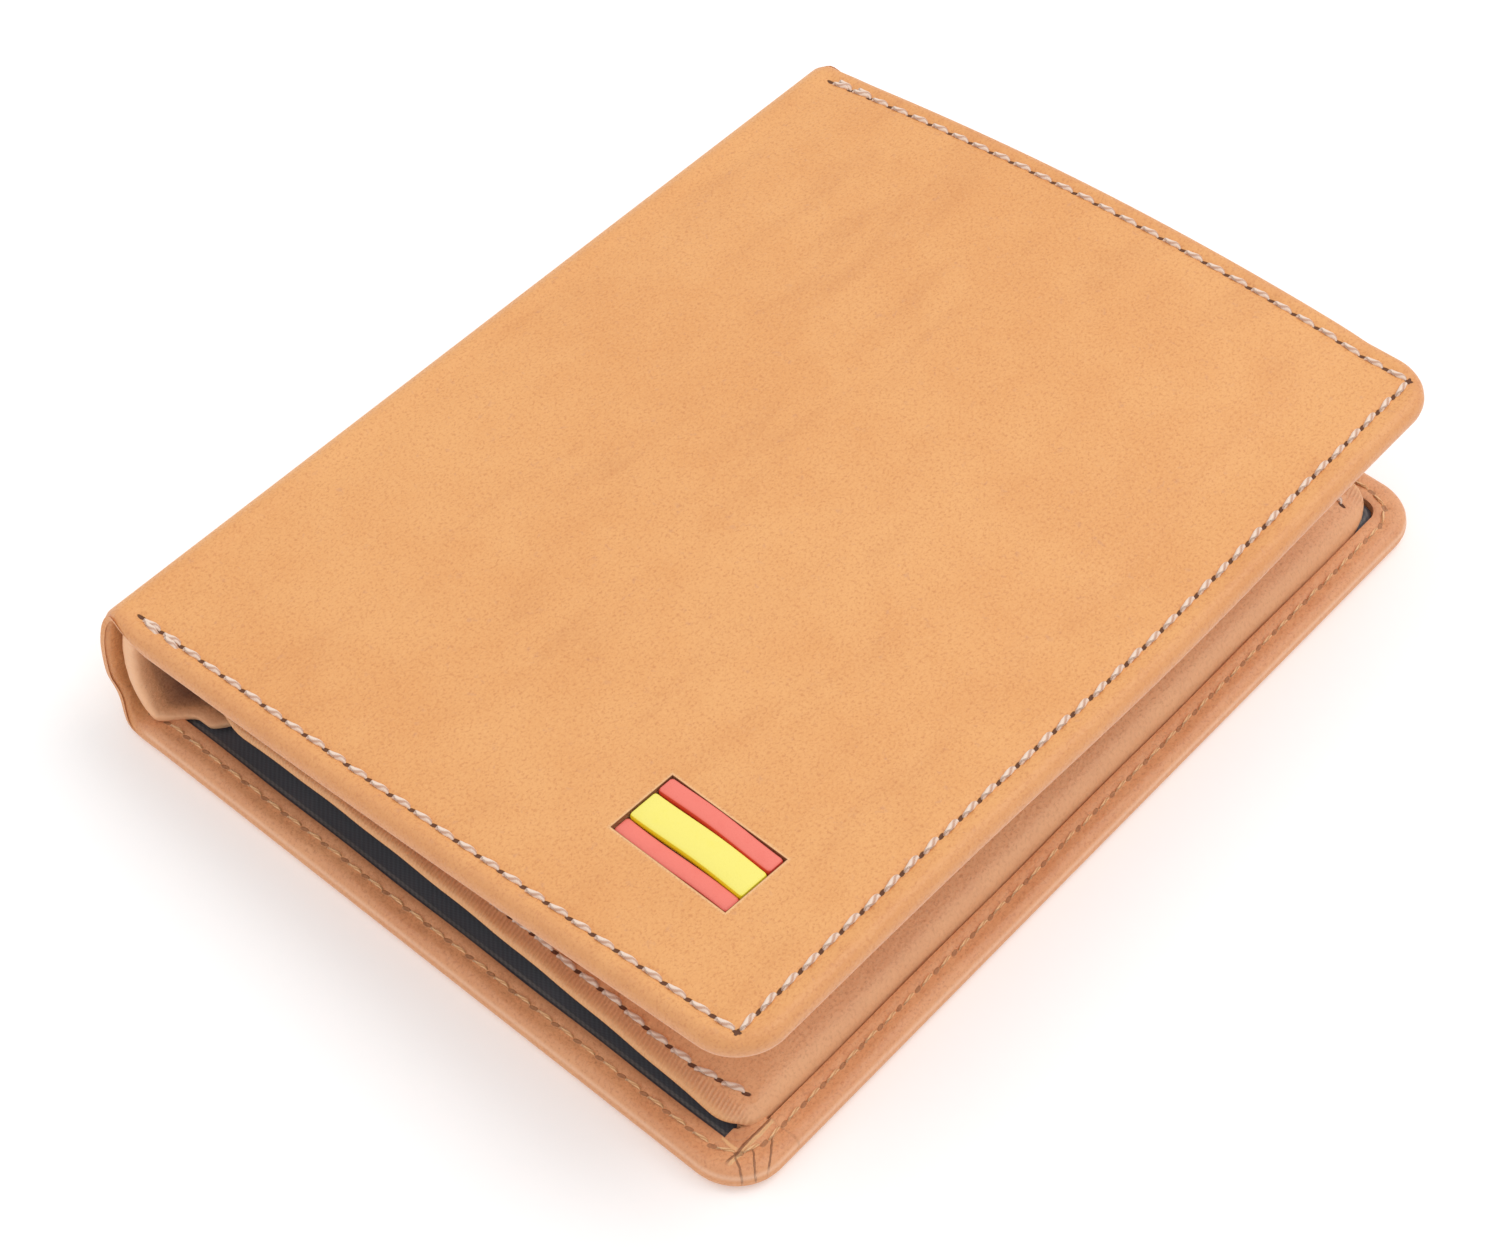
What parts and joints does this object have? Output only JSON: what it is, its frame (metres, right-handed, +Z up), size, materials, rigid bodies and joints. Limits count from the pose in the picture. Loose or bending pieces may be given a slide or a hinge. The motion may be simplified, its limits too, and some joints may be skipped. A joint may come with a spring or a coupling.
{
  "type": "bifold wallet",
  "caption": "Portrait bifold wallet in tan turned-edge leather, two coupled folds along the spine, arched inner panel, note compartment, card pockets, clear window and a banded corner inlay.",
  "frame": {"origin": "middle of the closed wallet's footprint, on the surface it lies on", "axes": "+X from the spine to the free edge, +Y along the spine from the inlay's end, +Z up out of the front cover"},
  "size_m": [0.0954, 0.125, 0.0252],
  "materials": {
    "outer_leather": "smooth aniline calf leather, satin",
    "inner_leather": "smooth calf leather, satin",
    "lining_cloth": "fine twill lining, matte",
    "ecru_thread": "twisted polyester thread",
    "golden_thread": "twisted polyester thread",
    "board": "bonded leather board, matte",
    "clear_film": "clear vinyl film",
    "inlay_red": "painted smooth leather",
    "inlay_yellow": "painted smooth leather"
  },
  "bodies": {
    "back": {"back_cover": "outer_leather", "back_board": "board", "back_lining": "lining_cloth", "back_outer_thread": "ecru_thread", "back_inner_thread": "golden_thread", "back_panel": "inner_leather", "back_panel_lining": "lining_cloth", "back_panel_thread": "ecru_thread", "note_seam": "lining_cloth", "card_pocket_1": "inner_leather", "card_pocket_2": "inner_leather", "card_pocket_3": "inner_leather", "card_pocket_thread": "ecru_thread"},
    "spine": {"spine_cover": "outer_leather", "spine_lining": "inner_leather"},
    "front": {"front_cover": "outer_leather", "front_board": "board", "front_lining": "lining_cloth", "front_outer_thread": "ecru_thread", "front_inner_thread": "golden_thread", "front_panel": "inner_leather", "front_panel_thread": "ecru_thread", "slip_pocket": "inner_leather", "window_film": "clear_film", "window_frame": "inner_leather", "window_thread": "ecru_thread", "inlay_band_lower": "inlay_red", "inlay_band_middle": "inlay_yellow", "inlay_band_upper": "inlay_red"}
  },
  "joints": [
    {"name": "back_fold", "type": "hinge", "parent": "back", "child": "spine", "pos_m": [-0.04625, 0, 0.0015], "axis": [0, -1, 0], "range_deg": [0, 90]},
    {"name": "front_fold", "type": "hinge", "parent": "spine", "child": "front", "pos_m": [-0.04625, 0, 0.0167], "axis": [0, -1, 0], "range_deg": [0, 85.65]}
  ],
  "couplings": [
    {"joint": "front_fold", "follows": "back_fold", "ratio": 0.95167}
  ]
}
